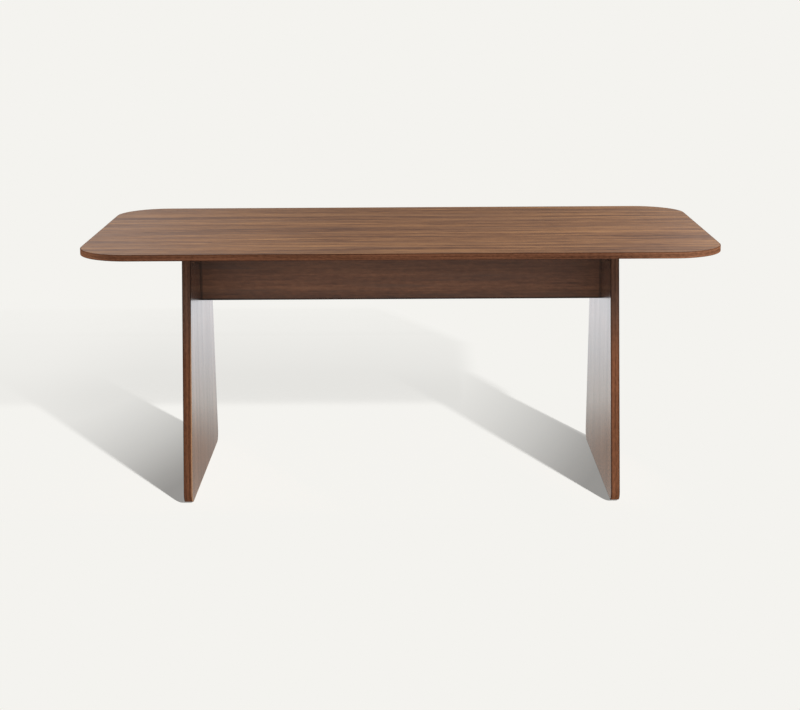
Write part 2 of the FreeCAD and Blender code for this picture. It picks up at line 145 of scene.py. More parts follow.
class Net:
    """Adds nodes to a tree, sets their sockets and links them."""

    def __init__(self, tree):
        self.tree = tree
        self.add_to = tree.nodes

    def add(self, kind, inputs=None, **settings):
        made = self.add_to.new(kind)
        for name, value in settings.items():
            setattr(made, name, value)
        for name, value in (inputs or {}).items():
            self.feed(made.inputs[name], value)
        return made

    def feed(self, socket, value):
        if isinstance(value, bpy.types.NodeSocket):
            self.tree.links.new(value, socket)
        else:
            socket.default_value = value

    def math(self, operation, *values, clamp=False):
        made = self.add("ShaderNodeMath", operation=operation, use_clamp=clamp)
        for i, value in enumerate(values):
            self.feed(made.inputs[i], value)
        return made.outputs[0]

    def times(self, first, second, clamp=False):
        return self.math("MULTIPLY", first, second, clamp=clamp)

    def plus(self, *values, clamp=False):
        """The sum of two values or more."""
        first, *middle, last = values
        for value in middle:
            first = self.math("ADD", first, value)
        return self.math("ADD", first, last, clamp=clamp)

    def around_half(self, value, amount):
        """A value's swing about one half, times an amount."""
        return self.times(self.math("SUBTRACT", value, 0.5), amount)

    def step(self, value, low, high, start=0.0, end=1.0):
        """A smooth step from start to end as the value goes from low to high."""
        made = self.add("ShaderNodeMapRange", {"Value": value, "From Min": low, "From Max": high,
                                               "To Min": start, "To Max": end},
                        interpolation_type="SMOOTHSTEP")
        return made.outputs["Result"]

    def mix(self, amount, first, second, blend="MIX"):
        made = self.add("ShaderNodeMix", data_type="RGBA", blend_type=blend)
        self.feed(made.inputs[0], amount)
        self.feed(made.inputs[6], first)
        self.feed(made.inputs[7], second)
        return made.outputs[2]

    def parts(self, vector):
        return self.add("ShaderNodeSeparateXYZ", {"Vector": vector}).outputs

    def point(self, x, y, z):
        return self.add("ShaderNodeCombineXYZ", {"X": x, "Y": y, "Z": z}).outputs[0]

    def place(self):
        """Object coordinates: metres from the table's origin."""
        return self.add("ShaderNodeTexCoord").outputs["Object"]

    def stretched(self, vector, x, y, z):
        made = self.add("ShaderNodeVectorMath", {0: vector, 1: (x, y, z)}, operation="MULTIPLY")
        return made.outputs[0]

    def shrunk(self, vector, size):
        """The vector in units of a size, so that noise on it has marks of that size."""
        made = self.add("ShaderNodeVectorMath", {0: vector}, operation="SCALE")
        self.feed(made.inputs["Scale"], self.math("DIVIDE", 1.0, size))
        return made.outputs[0]

    def noise(self, vector, detail=2.0, roughness=0.5):
        made = self.add("ShaderNodeTexNoise", {"Vector": vector, "Scale": 1.0, "Detail": detail,
                                               "Roughness": roughness})
        return made.outputs["Fac"]


def new_group(name, kind, takes, gives):
    """A node group with named inputs, each with its first value, and named outputs."""
    tree = bpy.data.node_groups.new(name, kind)
    for label, (socket_type, value) in takes.items():
        made = tree.interface.new_socket(label, in_out="INPUT", socket_type=socket_type)
        if value is not None:
            made.default_value = value
    for label, socket_type in gives.items():
        tree.interface.new_socket(label, in_out="OUTPUT", socket_type=socket_type)
    net = Net(tree)
    return net, net.add("NodeGroupInput").outputs, net.add("NodeGroupOutput").inputs


NUMBER = "NodeSocketFloat"
COLOUR = "NodeSocketColor"
PLACE = "NodeSocketVector"


def light_the_room():
    """The world lights nothing by itself: it is the pale room seen behind the table
    and in gloss."""
    world = bpy.data.worlds.new("studio")
    world.use_nodes = True
    world.node_tree.nodes.clear()
    net = Net(world.node_tree)
    direct, mirrored = ray_kinds(net)
    aside = net.parts(net.place())[0]
    colour = net.mix(mirrored, PALE, ramp(net, aside, ROOM_GLOSS))
    pale = net.add("ShaderNodeBackground", {"Color": colour,
                                            "Strength": net.math("MAXIMUM", direct, mirrored)})
    net.add("ShaderNodeOutputWorld", {"Surface": pale.outputs[0]})
    scene.world = world


def ray_kinds(net):
    """Masks for rays from the camera and for rays in gloss or through a clear piece."""
    path = net.add("ShaderNodeLightPath").outputs
    return path["Is Camera Ray"], net.math("MAXIMUM", path["Is Glossy Ray"], path["Is Transmission Ray"])


def hang_sun(name, azimuth, elevation, strength, angle, receivers):
    """A distant lamp that gloss doesn't see; azimuth in degrees from the front towards
    the right."""
    data = bpy.data.lights.new(name, "SUN")
    data.energy = strength
    data.angle = math.radians(angle)
    lamp = bpy.data.objects.new(name, data)
    lamp.rotation_euler = (math.radians(90 - elevation), 0, math.radians(azimuth))
    lamp.visible_glossy = False
    lamp.light_linking.receiver_collection = receivers
    scene.collection.objects.link(lamp)


def hang_bulb(name, place, power, radius, receivers):
    """A soft round lamp that neither the camera nor gloss sees."""
    data = bpy.data.lights.new(name, "POINT")
    data.energy = power
    data.shadow_soft_size = radius
    bulb = bpy.data.objects.new(name, data)
    bulb.location = place
    bulb.visible_camera = False
    bulb.visible_glossy = False
    bulb.light_linking.receiver_collection = receivers
    scene.collection.objects.link(bulb)


def hang_lamps(floor):
    """A broad key light, one lamp at each side and a soft dome for the table, and a
    stack of bulbs that draws the shadow on the floor."""
    on_floor = bpy.data.collections.new("lit_floor")
    on_floor.objects.link(floor)
    on_table = bpy.data.collections.new("lit_table")
    on_table.objects.link(floor)
    on_table.collection_objects[0].light_linking.link_state = "EXCLUDE"
    for height, share in BULBS:
        power = 4 * math.pi ** 2 * BULB_REACH ** 3 / height * share
        hang_bulb(f"floor_bulb_{height}", (*BULB_PLACE, height), power, BULB_RADIUS, on_floor)
    hang_bulb("key", KEY_PLACE, KEY_POWER, KEY_RADIUS, on_table)
    for side, place, power in SIDE_BULBS:
        hang_bulb(f"{side}_bulb", place, power, SIDE_RADIUS, on_table)
    for low, high, count in DOME_RINGS:
        patch = math.tau * (math.sin(math.radians(high)) - math.sin(math.radians(low))) / count
        strength = AMBIENT * patch * (LOW_RING_SHARE if low == 0 else 1)
        for i in range(count):
            azimuth = 360 * (i + 0.5) / count
            hang_sun(f"dome_{low}_{i}", azimuth, (low + high) / 2, strength, DOME_LAMP_ANGLE, on_table)


def ramp(net, value, stops):
    """A colour that goes straight from stop to stop, each a value and a colour."""
    first, last = stops[0][0], stops[-1][0]
    way = net.add("ShaderNodeMapRange", {"Value": value, "From Min": first, "From Max": last})
    made = net.add("ShaderNodeValToRGB", {"Fac": way.outputs["Result"]})
    elements = made.color_ramp.elements
    for at, colour in stops[1:-1]:
        elements.new((at - first) / (last - first)).color = (*colour, 1)
    elements[0].color = (*stops[0][1], 1)
    elements[-1].color = (*stops[-1][1], 1)
    return made.outputs["Color"]


def grey_ramp(net, value, stops):
    """A level that goes straight from stop to stop, each a value and a level."""
    return ramp(net, value, [(at, (level,) * 3) for at, level in stops])


def shadow_depth(net, x, y):
    """How far the floor darkens in full shadow: less and less away from the leg that
    casts it, then paler still behind the table. Seen from the bulbs each leg's shadow
    is a strip, told by its slant from them."""
    left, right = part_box("left_leg_board")[0].x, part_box("right_leg_board")[0].x
    foot = LEG_FOOT_DEPTH / 2
    slant = net.math("DIVIDE", net.math("SUBTRACT", BULB_PLACE[0], x),
                     net.math("SUBTRACT", y, BULB_PLACE[1]))

    def slant_of(leg, depth):
        return (BULB_PLACE[0] - leg) / (depth - BULB_PLACE[1])

    behind_left = slant_of(left, foot)
    behind_right, before_right = slant_of(right, foot), slant_of(right, -foot)
    left_strip = net.step(slant, behind_left - STRIP_EDGE, behind_left)
    right_strip = net.times(net.step(slant, behind_right - RIGHT_STRIP_EDGE, behind_right),
                            net.step(slant, before_right + STRIP_EDGE, before_right))
    leg = net.step(slant, behind_left - NEXT_LEG_EDGE, behind_left - STRIP_EDGE, right, left)
    off_leg = net.plus(y, net.times(net.math("SUBTRACT", leg, x), LEG_SHADOW_SLOPE))
    near = net.times(grey_ramp(net, off_leg, LEG_SHADOW), net.math("MAXIMUM", left_strip, right_strip))
    past_corner = net.math("MAXIMUM", net.math("SUBTRACT", y, TOP_SHADOW_CORNER), 0.0)
    slanted = net.plus(x, net.times(past_corner, TOP_SHADOW_SLANT))
    beside = net.times(net.step(x, *TOP_SHADOW_LEFT, 0.5, 1.0), net.step(slanted, *TOP_SHADOW_RIGHT))
    far = net.times(grey_ramp(net, y, TOP_SHADOW), beside)
    in_front = net.times(net.step(y, *FRONT_FADE), net.step(x, *RIGHT_FADE))
    return net.times(net.math("MAXIMUM", near, far), in_front)


def lay_floor():
    """A pale floor, as bright far from the bulbs as near them. It glows pale for the camera, which paints
    its shadow paler with distance behind the table, and in gloss it shows painted shade close to the table."""
    shape = bmesh.new()
    bmesh.ops.create_circle(shape, cap_ends=True, radius=FLOOR_RADIUS, segments=96)
    floor = new_object("floor", mesh_of("floor", shape))
    material = bpy.data.materials.new("studio_floor")
    material.use_nodes = True
    material.node_tree.nodes.clear()
    net = Net(material.node_tree)
    place = net.place()
    shade = shadow_depth(net, *net.parts(place)[:2])
    away = net.add("ShaderNodeVectorMath", {0: place}, operation="LENGTH").outputs["Value"]
    direct, mirrored = ray_kinds(net)
    middle = sum(height * share for height, share in BULBS)
    reach = net.add("ShaderNodeVectorMath", {0: place, 1: (*BULB_PLACE, middle)}, operation="DISTANCE")
    level = net.math("POWER", net.math("DIVIDE", reach.outputs["Value"], BULB_REACH), 3)
    lit = net.add("ShaderNodeBsdfDiffuse", {"Color": net.mix(level, BLACK, PALE)})
    # Painted shade: in gloss the floor darkens towards the table
    glow = net.add("ShaderNodeEmission", {"Color": net.mix(mirrored, PALE, ramp(net, away, FLOOR_GLOSS))})
    # Painted light: for the camera the floor glows by the shadow depth, paling its shadow
    plain = net.math("MAXIMUM", mirrored, net.times(direct, net.math("SUBTRACT", 1.0, shade)))
    both = net.add("ShaderNodeMixShader", {0: plain, 1: lit.outputs[0], 2: glow.outputs[0]})
    net.add("ShaderNodeOutputMaterial", {"Surface": both.outputs[0]})
    floor.data.materials.append(material)
    return floor


def new_material(name):
    """An empty material with one Principled shader, and that shader's sockets."""
    material = bpy.data.materials.new(name)
    material.use_nodes = True
    material.node_tree.nodes.clear()
    net = Net(material.node_tree)
    shader = net.add("ShaderNodeBsdfPrincipled")
    net.add("ShaderNodeOutputMaterial", {"Surface": shader.outputs[0]})
    return net, shader.inputs


# Shared surface effects

def build_walnut_figure():
    """Straight-grained walnut: broad streaks, growth lines, pores and a few eyes.
    The vector is in metres, with the grain along X and the rings across Y."""
    net, given, gives = new_group(
        "walnut_figure", "ShaderNodeTree",
        {"Vector": (PLACE, None), "Light": (COLOUR, None), "Middle": (COLOUR, None),
         "Dark": (COLOUR, None), "Grey": (COLOUR, None), "Band Width": (NUMBER, 0.05),
         "Contrast": (NUMBER, 1.0), "Mottle": (NUMBER, 0.4), "Streaks": (NUMBER, 0.5),
         "Roughness": (NUMBER, 0.4)},
        {"Color": COLOUR, "Roughness": NUMBER, "Height": NUMBER, "Fill": NUMBER})
    at = given["Vector"]
    u, v, w = net.parts(at)
    wander = net.around_half(net.noise(net.stretched(at, 1.1, 4.5, 4.5)), 0.03)
    ripple = net.around_half(net.noise(net.stretched(at, 8, 30, 30)), 0.002)
    cells = net.add("ShaderNodeTexVoronoi", {"Vector": net.stretched(at, 3.4, 10, 10), "Scale": 1.0,
                                             "Randomness": 1.0})
    chosen = net.math("GREATER_THAN", net.parts(cells.outputs["Color"])[0], 0.8)
    eye = net.times(chosen, net.step(cells.outputs["Distance"], 0.28, 0.0))
    across = net.plus(v, wander, ripple, net.times(eye, 0.02))

    def figure(along, over, depth, **settings):
        """Noise drawn out along the grain: how often it changes along and over it."""
        return net.noise(net.point(net.times(u, along), net.times(across, over), depth), **settings)

    band = net.noise(net.point(net.times(u, 0.9), net.math("DIVIDE", across, given["Band Width"]),
                               net.times(w, 8)), detail=4, roughness=0.7)
    line = figure(1.5, 110, w, detail=4, roughness=0.7)
    dash = figure(5, 60, 5.7, detail=3, roughness=0.65)
    streak = net.step(figure(3.5, 80, 3.1, detail=3, roughness=0.6), 0.6, 0.72)
    fibre = figure(12, 1100, net.times(w, 300), detail=1)
    mineral = net.step(figure(1.3, 32, 7.3, detail=3), 0.5, 0.75, 0, 0.7)
    mottle = net.noise(net.stretched(at, 24, 80, 80), detail=3, roughness=0.65)
    pore = net.step(net.noise(net.stretched(at, 55, 1500, 1500)), 0.66, 0.76)
    swing = net.plus(net.around_half(band, 2.1), net.around_half(dash, 1.0),
                     net.around_half(line, 1.4), net.around_half(fibre, 0.35))
    mottled = net.plus(net.around_half(mottle, given["Mottle"]), 0.5)
    tone = net.plus(net.times(swing, given["Contrast"]), mottled, clamp=True)
    wood = net.mix(net.times(tone, 2, clamp=True), given["Dark"], given["Middle"])
    wood = net.mix(net.math("SUBTRACT", net.times(tone, 2), 1, clamp=True), wood, given["Light"])
    wood = net.mix(mineral, wood, given["Grey"])
    spots = net.plus(net.times(eye, 0.5), net.times(streak, given["Streaks"]), net.times(pore, 0.3),
                     clamp=True)
    net.feed(gives["Color"], net.mix(spots, wood, given["Dark"]))
    rough = net.plus(given["Roughness"], net.around_half(line, 0.12), net.times(pore, 0.15))
    net.feed(gives["Roughness"], rough)
    net.feed(gives["Height"], net.math("SUBTRACT", net.times(line, 0.4), pore))
    filled = net.plus(0.82, net.around_half(band, 0.8), net.around_half(line, 0.35))
    net.feed(gives["Fill"], net.math("SUBTRACT", filled, net.times(pore, 0.4), clamp=True))
    return net.tree


def build_band_grain():
    """A solid edge strip: fine lines along it, and painted highlight and shade in the colours of its two
    arrises. The vector is in metres, with X across the strip."""
    net, given, gives = new_group(
        "band_grain", "ShaderNodeTree",
        {"Vector": (PLACE, None), "Across": (NUMBER, 0.0), "Light": (COLOUR, None),
         "Dark": (COLOUR, None), "Near Arris": (COLOUR, None), "Far Arris": (COLOUR, None),
         "Roughness": (NUMBER, 0.4)},
        {"Color": COLOUR, "Roughness": NUMBER, "Height": NUMBER})
    at = given["Vector"]
    line = net.noise(net.stretched(at, 170, 1.4, 1.4), detail=3, roughness=0.75)
    speckle = net.noise(net.stretched(at, 300, 80, 80), detail=3, roughness=0.6)
    pore = net.step(net.noise(net.stretched(at, 1500, 40, 40)), 0.66, 0.76)
    tone = net.plus(net.around_half(line, 2.4), net.around_half(speckle, 1.3), 0.5, clamp=True)
    wood = net.mix(tone, given["Dark"], given["Light"])
    wood = net.mix(net.times(pore, 0.3), wood, given["Dark"])
    # Painted highlight and shade: each arris takes a colour of its own
    wood = net.mix(net.step(given["Across"], 0.74, 0.88), wood, given["Near Arris"])
    net.feed(gives["Color"], net.mix(net.step(given["Across"], -0.8, -0.94), wood, given["Far Arris"]))
    net.feed(gives["Roughness"], net.plus(given["Roughness"], net.around_half(line, 0.15)))
    net.feed(gives["Height"], net.math("SUBTRACT", net.times(line, 0.5), pore))
    return net.tree


def build_handling():
    """Faint cloudy marks left by wiping and handling."""
    net, given, gives = new_group("handling", "ShaderNodeTree",
                                  {"Vector": (PLACE, None), "Size": (NUMBER, 0.1), "Amount": (NUMBER, 0.1)},
                                  {"Cloud": NUMBER})
    cloud = net.noise(net.shrunk(given["Vector"], given["Size"]), detail=4, roughness=0.6)
    net.feed(gives["Cloud"], net.around_half(cloud, given["Amount"]))
    return net.tree


def build_plating():
    """Zinc on steel: a fine mottle with a few dull spots."""
    net, given, gives = new_group(
        "plating", "ShaderNodeTree",
        {"Vector": (PLACE, None), "Bright": (COLOUR, None), "Dull": (COLOUR, None),
         "Grain": (NUMBER, 0.004), "Roughness": (NUMBER, 0.3)},
        {"Color": COLOUR, "Roughness": NUMBER, "Height": NUMBER})
    mottle = net.noise(net.shrunk(given["Vector"], given["Grain"]), detail=3, roughness=0.6)
    spot = net.step(mottle, 0.55, 0.75)
    net.feed(gives["Color"], net.mix(spot, given["Bright"], given["Dull"]))
    net.feed(gives["Roughness"], net.plus(given["Roughness"], net.around_half(mottle, 0.3)))
    net.feed(gives["Height"], mottle)
    return net.tree


walnut_figure = build_walnut_figure()
band_grain = build_band_grain()
handling = build_handling()
plating = build_plating()


# Materials

def srgb(red, green, blue):
    """A colour given as 0 to 255 in sRGB, as the shaders want it."""
    def linear(level):
        share = level / 255
        return share / 12.92 if share <= 0.04045 else ((share + 0.055) / 1.055) ** 2.4
    return (linear(red), linear(green), linear(blue), 1)


WALNUT = {"Light": srgb(181, 133, 92), "Middle": srgb(142, 102, 73), "Dark": srgb(94, 66, 53),
          "Grey": srgb(118, 91, 76)}
# Painted shade: a darker copy of the walnut for the rail and the legs, which stand in the top's shade
SHADED_WALNUT = {"Light": srgb(152, 107, 79), "Middle": srgb(121, 83, 62), "Dark": srgb(82, 55, 44),
                 "Grey": srgb(100, 77, 65)}
# The top band; its arris colours are painted shade, dark lines along its edges
BAND = {"Light": srgb(122, 79, 57), "Dark": srgb(63, 39, 28), "Near_Arris": srgb(72, 46, 35),
        "Far_Arris": srgb(62, 39, 30)}
# Painted light: the top band's colours towards its ends, its arrises included
BAND_END_PAINTED_LIGHT = {"Light": srgb(164, 113, 84), "Dark": srgb(88, 58, 43), "Near_Arris": srgb(112, 76, 56),
            "Far_Arris": srgb(96, 64, 50)}
# Painted shade: the band under the rail, near black
RAIL_BAND_PAINTED_SHADE = {"Light": srgb(40, 28, 24), "Dark": srgb(30, 21, 18), "Near_Arris": srgb(30, 21, 18),
             "Far_Arris": srgb(30, 21, 18)}
# Leg bands, the right one lighter than the left. The left leg's near arris colour is a painted highlight,
# the other arris colours painted shade
LEFT_BAND = {"Light": srgb(125, 81, 57), "Dark": srgb(73, 46, 34), "Near_Arris": srgb(176, 136, 104),
             "Far_Arris": srgb(50, 32, 25)}
RIGHT_BAND = {"Light": srgb(146, 95, 67), "Dark": srgb(89, 57, 41), "Near_Arris": srgb(72, 46, 35),
              "Far_Arris": srgb(50, 32, 25)}
# Painted shade: the leg bands' colours towards their tops, under the table top
SHADED_BAND = {"Light": srgb(118, 88, 73), "Dark": srgb(67, 50, 43), "Near_Arris": srgb(56, 41, 34),
               "Far_Arris": srgb(44, 31, 26)}
BEECH = {"Light": srgb(214, 180, 136), "Middle": srgb(201, 164, 118), "Dark": srgb(170, 126, 84),
         "Grey": srgb(190, 152, 108)}
PORE_DEPTH = 0.00004


def grain_place(net, order, offset, scale=1.0):
    """Object coordinates with their axes put in another order, scaled and moved."""
    where = net.place()
    if order != "XYZ":
        axes = dict(zip("XYZ", net.parts(where)))
        where = net.point(*[axes[letter] for letter in order])
    moved = net.add("ShaderNodeMapping", {"Vector": where, "Location": offset, "Scale": (scale,) * 3})
    return moved.outputs[0]


def use_group(net, tree, **values):
    """Place a shared effect with its own values; a name's underscores stand for spaces."""
    made = net.add("ShaderNodeGroup", node_tree=tree)
    for name, value in values.items():
        net.feed(made.inputs[name.replace("_", " ")], value)
    return made.outputs


def finish_surface(net, shader, effect, where, bump, cloud_size=0.15, cloud_amount=0.06):
    """Colour, roughness with handling marks, and fine relief from one effect."""
    marks = use_group(net, handling, Vector=where, Size=cloud_size, Amount=cloud_amount)
    net.feed(shader["Base Color"], effect["Color"])
    net.feed(shader["Roughness"], net.plus(effect["Roughness"], marks["Cloud"]))
    relief = net.add("ShaderNodeBump", {"Strength": 1.0, "Distance": bump, "Height": effect["Height"]})
    net.feed(shader["Normal"], relief.outputs[0])


def along_table(net, axis, start, end):
    """Zero up to the start, rising to one at the end, along one of the table's axes."""
    return net.step(net.parts(net.place())["XYZ".index(axis)], start, end)


def walnut_face(name, order, offset, colours, gloss, roughness, shades=(), lacquer=False,
                contrast=1.0, mottle=0.4, scale=1.0):
    """A veneered face. Each shade is painted shade: a share of darkening and the spans it grows along, each
    span an axis of the table and two places on it."""
    net, shader = new_material(name)
    where = grain_place(net, order, offset, scale)
    effect = use_group(net, walnut_figure, Vector=where, Contrast=contrast, Mottle=mottle,
                       Roughness=roughness, **colours)
    finish_surface(net, shader, effect, where, PORE_DEPTH)
    colour = effect["Color"]
    # Painted shade: the colour darkens by each shade's share along its spans
    for share, *spans in shades:
        for span in spans:
            share = net.times(share, along_table(net, *span))
        colour = net.mix(share, colour, BLACK)
    net.feed(shader["Base Color"], colour)
    net.feed(shader["Specular IOR Level"], gloss)
    if lacquer:
        net.feed(shader["Coat Weight"], effect["Fill"])
        net.feed(shader["Coat Roughness"], roughness)
    return bpy.data.materials[name]


def walnut_band(name, order, offset, colours, painted_colours=None, spans=()):
    """An edge band. Along each span, an axis and two places on it, its colours turn to the painted ones:
    painted light towards the top band's ends, painted shade towards the tops of the legs."""
    net, shader = new_material(name)
    where = grain_place(net, order, offset)
    # Painted light and shade: the colours turn along each span
    for span in spans:
        share = along_table(net, *span)
        colours = {part: net.mix(share, colour, painted_colours[part]) for part, colour in colours.items()}
    across = net.add("ShaderNodeAttribute", attribute_name="across").outputs["Fac"]
    effect = use_group(net, band_grain, Vector=where, Across=across, Roughness=0.5, **colours)
    finish_surface(net, shader, effect, where, PORE_DEPTH)
    net.feed(shader["Specular IOR Level"], 0.0)
    return bpy.data.materials[name]


def plated_metal(name, bright, dull, grain, roughness, bump=0.00001):
    net, shader = new_material(name)
    where = net.place()
    effect = use_group(net, plating, Vector=where, Bright=bright, Dull=dull, Grain=grain,
                       Roughness=roughness)
    finish_surface(net, shader, effect, where, bump, cloud_size=0.02, cloud_amount=0.12)
    net.feed(shader["Metallic"], 1.0)
    return bpy.data.materials[name]


def beech():
    net, shader = new_material("beech")
    where = net.place()
    effect = use_group(net, walnut_figure, Vector=where, Band_Width=0.006, Roughness=0.6, **BEECH)
    finish_surface(net, shader, effect, where, bump=0.00003, cloud_size=0.01)
    return bpy.data.materials["beech"]


def felt():
    net, shader = new_material("felt")
    where = net.place()
    effect = use_group(net, plating, Vector=where, Bright=srgb(84, 72, 64), Dull=srgb(54, 46, 41),
                       Grain=0.0006, Roughness=0.95)
    finish_surface(net, shader, effect, where, bump=0.0003, cloud_size=0.004)
    net.feed(shader["Sheen Weight"], 0.4)
    return bpy.data.materials["felt"]


# Mesh helpers

MERGE_DISTANCE = 1e-6
SMOOTH_ANGLE = 32


def new_object(name, mesh):
    made = bpy.data.objects.new(name, mesh)
    scene.collection.objects.link(made)
    return made


def outward(mesh):
    """Merge doubles, turn all faces outwards and shade rounds smooth."""
    shape = bmesh.new()
    shape.from_mesh(mesh)
    bmesh.ops.remove_doubles(shape, verts=shape.verts, dist=MERGE_DISTANCE)
    bmesh.ops.recalc_face_normals(shape, faces=shape.faces)
    shape.to_mesh(mesh)
    shape.free()
    for face in mesh.polygons:
        face.use_smooth = True
    mesh.set_sharp_from_angle(angle=math.radians(SMOOTH_ANGLE))


def mesh_of(name, shape):
    """A mesh from a finished bmesh."""
    mesh = bpy.data.meshes.new(name)
    shape.to_mesh(mesh)
    shape.free()
    return mesh


def evaluated_mesh(source):
    """A plain mesh of an object with its modifiers applied."""
    bpy.context.view_layer.update()
    depsgraph = bpy.context.evaluated_depsgraph_get()
    return bpy.data.meshes.new_from_object(source.evaluated_get(depsgraph))


def grown(name, source, tree, inputs):
    """Run a Geometry Nodes tree on an object and keep the result as a plain mesh."""
    modifier = source.modifiers.new("grow", "NODES")
    modifier.node_group = tree
    for item in tree.interface.items_tree:
        if item.item_type == "SOCKET" and item.in_out == "INPUT" and item.name in inputs:
            modifier[item.identifier] = inputs[item.name]
    mesh = evaluated_mesh(source)
    mesh.name = name
    bpy.data.objects.remove(source)
    outward(mesh)
    return new_object(name, mesh)


def hand_over(piece, slot, *replaced):
    """Ride on the table's one body and stand for CAD nodes. The slot is not used."""
    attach(piece, "root")
    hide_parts(*replaced)


# Edge bands, swept along the boards' edges

GEOMETRY = "NodeSocketGeometry"
MATERIAL = "NodeSocketMaterial"
COUNT = "NodeSocketInt"
OBJECT = "NodeSocketObject"


def real_pieces(net, geometry, finish):
    """End a tree: no instances left, and one material on all faces."""
    real = net.add("GeometryNodeRealizeInstances", {"Geometry": geometry})
    dressed = net.add("GeometryNodeSetMaterial", {"Geometry": real.outputs[0], "Material": finish})
    return dressed.outputs[0]


def build_banding():
    """Sweep a strip with two rounded arrises along a path, round its corners. On the
    strip the attribute across runs from -1 to 1, with 1 at its near side."""
    net, given, gives = new_group(
        "edge_banding", "GeometryNodeTree",
        {"Path": (GEOMETRY, None), "Strip Width": (NUMBER, 0.018), "Strip Thickness": (NUMBER, 0.002),
         "Arris Radius": (NUMBER, 0.001), "Corner Radius": (NUMBER, 0.15), "Corner Steps": (COUNT, 24),
         "Across": (PLACE, (0, 0, 1)), "Near Side": (NUMBER, 1.0), "Finish": (MATERIAL, None)},
        {"Strip": GEOMETRY})
    path = net.add("GeometryNodeFilletCurve",
                   {"Curve": given["Path"], "Count": given["Corner Steps"],
                    "Radius": given["Corner Radius"], "Limit Radius": True}, mode="POLY")
    path = net.add("GeometryNodeSetCurveNormal",
                   {"Curve": path.outputs[0], "Normal": given["Across"]}, mode="FREE")
    blank = net.add("GeometryNodeCurvePrimitiveQuadrilateral",
                    {"Width": given["Strip Width"], "Height": given["Strip Thickness"]})
    middle = net.times(given["Strip Thickness"], -0.5)
    seated = net.add("GeometryNodeSetPosition",
                     {"Geometry": blank.outputs[0], "Offset": net.point(0.0, middle, 0.0)})
    place = net.parts(net.add("GeometryNodeInputPosition").outputs[0])
    outer = net.math("GREATER_THAN", place["Y"], middle)
    rounded = net.add("GeometryNodeFilletCurve",
                      {"Curve": seated.outputs[0], "Count": 4, "Limit Radius": True,
                       "Radius": net.times(outer, given["Arris Radius"])}, mode="POLY")
    half = net.times(given["Strip Width"], 0.5)
    side = net.math("DIVIDE", net.times(place["X"], given["Near Side"]), half)
    marked = net.add("GeometryNodeStoreNamedAttribute",
                     {"Geometry": rounded.outputs[0], "Name": "across"}, data_type="FLOAT", domain="POINT")
    net.feed(marked.inputs["Value"], side)
    swept = net.add("GeometryNodeCurveToMesh",
                    {"Curve": path.outputs[0], "Profile Curve": marked.outputs[0], "Fill Caps": True})
    net.feed(gives["Strip"], real_pieces(net, swept.outputs[0], given["Finish"]))
    return net.tree


def path_object(points, closed):
    data = bpy.data.curves.new("band_path", "CURVE")
    data.dimensions = "3D"
    line = data.splines.new("POLY")
    line.points.add(len(points) - 1)
    for made, place in zip(line.points, points):
        made.co = (*place, 1)
    line.use_cyclic_u = closed
    return new_object("band_path", data)


def band(name, node, points, closed, width, across, corner, finish, steps=24, near_side=1.0):
    """One edge band in place of its CAD node."""
    piece = grown(name, path_object(points, closed), banding,
                  {"Strip Width": width, "Strip Thickness": BAND_THICK, "Arris Radius": BAND_ARRIS,
                   "Corner Radius": corner, "Corner Steps": steps, "Across": across, "Near Side": near_side,
                   "Finish": finish})
    hand_over(piece, "walnut_edge", node)


banding = build_banding()


def band_the_top():
    low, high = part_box("top_edge_band")
    middle = (low.z + high.z) / 2
    points = [(low.x, low.y, middle), (high.x, low.y, middle), (high.x, high.y, middle),
              (low.x, high.y, middle)]
    band("edge_band_top", "top_edge_band", points, True, high.z - low.z, (0, 0, 1), TOP_CORNER,
         walnut_band("walnut_band_top", "ZXY", (0.3, 0, 0), BAND, BAND_END_PAINTED_LIGHT, TOP_BAND_PAINTED_LIGHT),
         steps=40)


def band_the_leg(side, colours):
    low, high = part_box(f"{side}_leg_edge_band")
    middle = (low.x + high.x) / 2
    top, foot = LEG_TOP_DEPTH / 2, LEG_FOOT_DEPTH / 2
    points = [(middle, -top, high.z), (middle, -foot, low.z), (middle, foot, low.z),
              (middle, top, high.z)]
    band(f"edge_band_{side}_leg", f"{side}_leg_edge_band", points, False, high.x - low.x, (1, 0, 0),
         FOOT_CORNER, walnut_band(f"walnut_band_{side}_leg", "XYZ", (0.1, 0, 0), colours, SHADED_BAND,
                                  LEG_BAND_PAINTED_SHADE),
         steps=16, near_side=1.0 if middle < 0 else -1.0)


def band_the_rail():
    low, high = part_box("rail_edge_band")
    middle = (low.y + high.y) / 2
    points = [(high.x, middle, low.z), (low.x, middle, low.z)]
    band("edge_band_rail", "rail_edge_band", points, False, high.y - low.y, (0, 1, 0), 0.0,
         walnut_band("walnut_band_rail", "YXZ", (0.2, 0, 0), RAIL_BAND_PAINTED_SHADE))


def dress(node, material):
    """Give a CAD node's object one material."""
    held = nodes[node].data.materials
    held.clear()
    held.append(material)


def rail_painted_shade(low, high):
    """Painted shade on the rail: the top's shadow, shade towards its lower edge and at its ends against the
    legs, and a darker streak.
    """
    under_top = (0.35, ("Z", high.z - 0.16, high.z))
    streak = (0.19, ("Z", high.z - 0.122, high.z - 0.109))
    foot = (0.17, ("Z", low.z + 0.03, low.z + 0.01))
    low_edge = (0.6, ("Z", low.z + 0.005, low.z + 0.002))
    left_end = (0.5, ("X", low.x + 0.006, low.x + 0.002))
    right_end = (0.5, ("X", high.x - 0.006, high.x - 0.002))
    return under_top, streak, foot, low_edge, left_end, right_end


